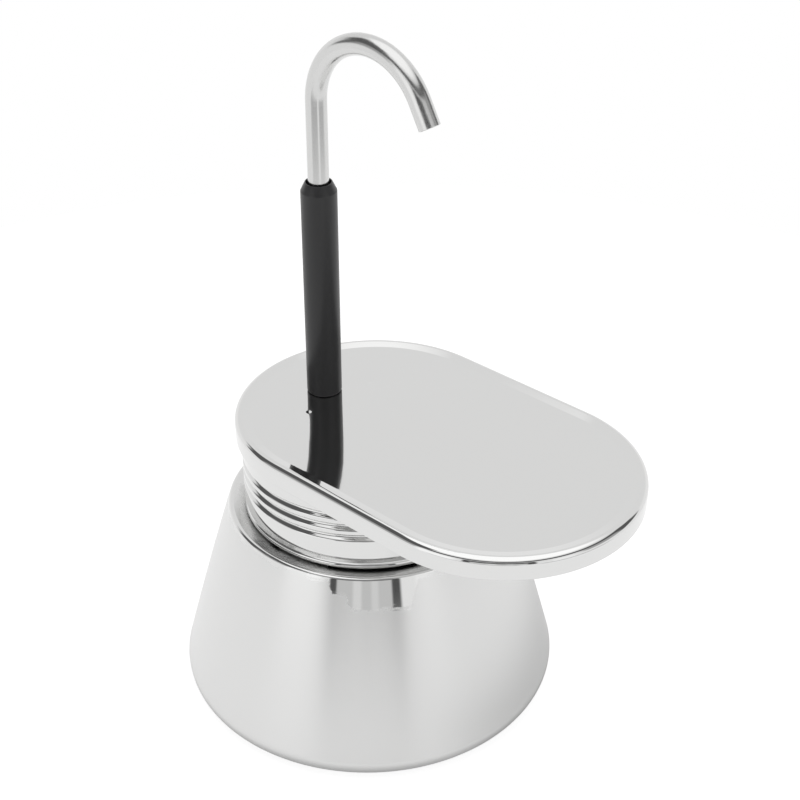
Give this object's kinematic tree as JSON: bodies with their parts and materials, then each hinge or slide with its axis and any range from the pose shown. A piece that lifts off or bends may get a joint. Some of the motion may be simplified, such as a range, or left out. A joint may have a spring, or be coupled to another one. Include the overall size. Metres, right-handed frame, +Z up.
{
  "type": "moka pot",
  "caption": "Camping-size stovetop espresso pot: conical steel boiler, screw cap with a pill-shaped cup platform, black-sleeved swan-neck spout.",
  "frame": {"origin": "on the boiler's axis, in the plane of the base", "axes": "+Z up along the boiler's axis; +X along the cup platform's long axis, from the spout towards the cup"},
  "size_m": [0.1061, 0.0826, 0.1479],
  "materials": {
    "satin_steel": "satin, brushed round the axis",
    "mirror_steel": "mirror polished",
    "tube_steel": "fine satin",
    "inner_steel": "plain pressed",
    "spring_steel": "drawn wire",
    "valve_brass": "turned",
    "seal_silicone": "matt",
    "black_sleeve": "matt"
  },
  "bodies": {
    "boiler": {"boiler_base": "satin_steel", "boiler_shell": "satin_steel", "valve_body": "valve_brass", "valve_washer": "seal_silicone", "valve_nut": "valve_brass", "valve_spring": "spring_steel", "valve_retainer": "valve_brass"},
    "poppet": {"valve_poppet": "valve_brass"},
    "funnel": {"funnel_cup": "inner_steel", "funnel_stem": "inner_steel", "funnel_sieve": "inner_steel"},
    "seal": {"gasket": "seal_silicone", "filter_plate": "inner_steel"},
    "head": {"threaded_cap": "mirror_steel", "cup_platform": "mirror_steel", "spout_tube": "tube_steel", "spout_ferrule": "inner_steel", "ferrule_seal": "seal_silicone", "ferrule_nut": "inner_steel", "handle_sleeve": "black_sleeve"}
  },
  "joints": [
    {"name": "head_rise", "type": "slide", "parent": "boiler", "child": "seal", "axis": [0, 0, 1], "range_m": [0, 0.0305]},
    {"name": "head_unscrew", "type": "hinge", "parent": "seal", "child": "head", "pos_m": [0, 0, 0], "axis": [0, 0, 1], "range_deg": [0, 4320]},
    {"name": "funnel_lift", "type": "slide", "parent": "boiler", "child": "funnel", "axis": [0, 0, 1], "range_m": [0, 0.0153]},
    {"name": "valve_lift", "type": "slide", "parent": "boiler", "child": "poppet", "axis": [-0.6807, 0.6807, 0.2706], "range_m": [0, 0.001], "stiffness_N_per_m": 300, "springref_m": -0.002, "deforming": ["valve_spring"]}
  ],
  "couplings": [
    {"joint": "head_rise", "follows": "head_unscrew", "m_per_rad": 0.00040425},
    {"joint": "funnel_lift", "follows": "head_unscrew", "m_per_rad": 0.00020213}
  ]
}
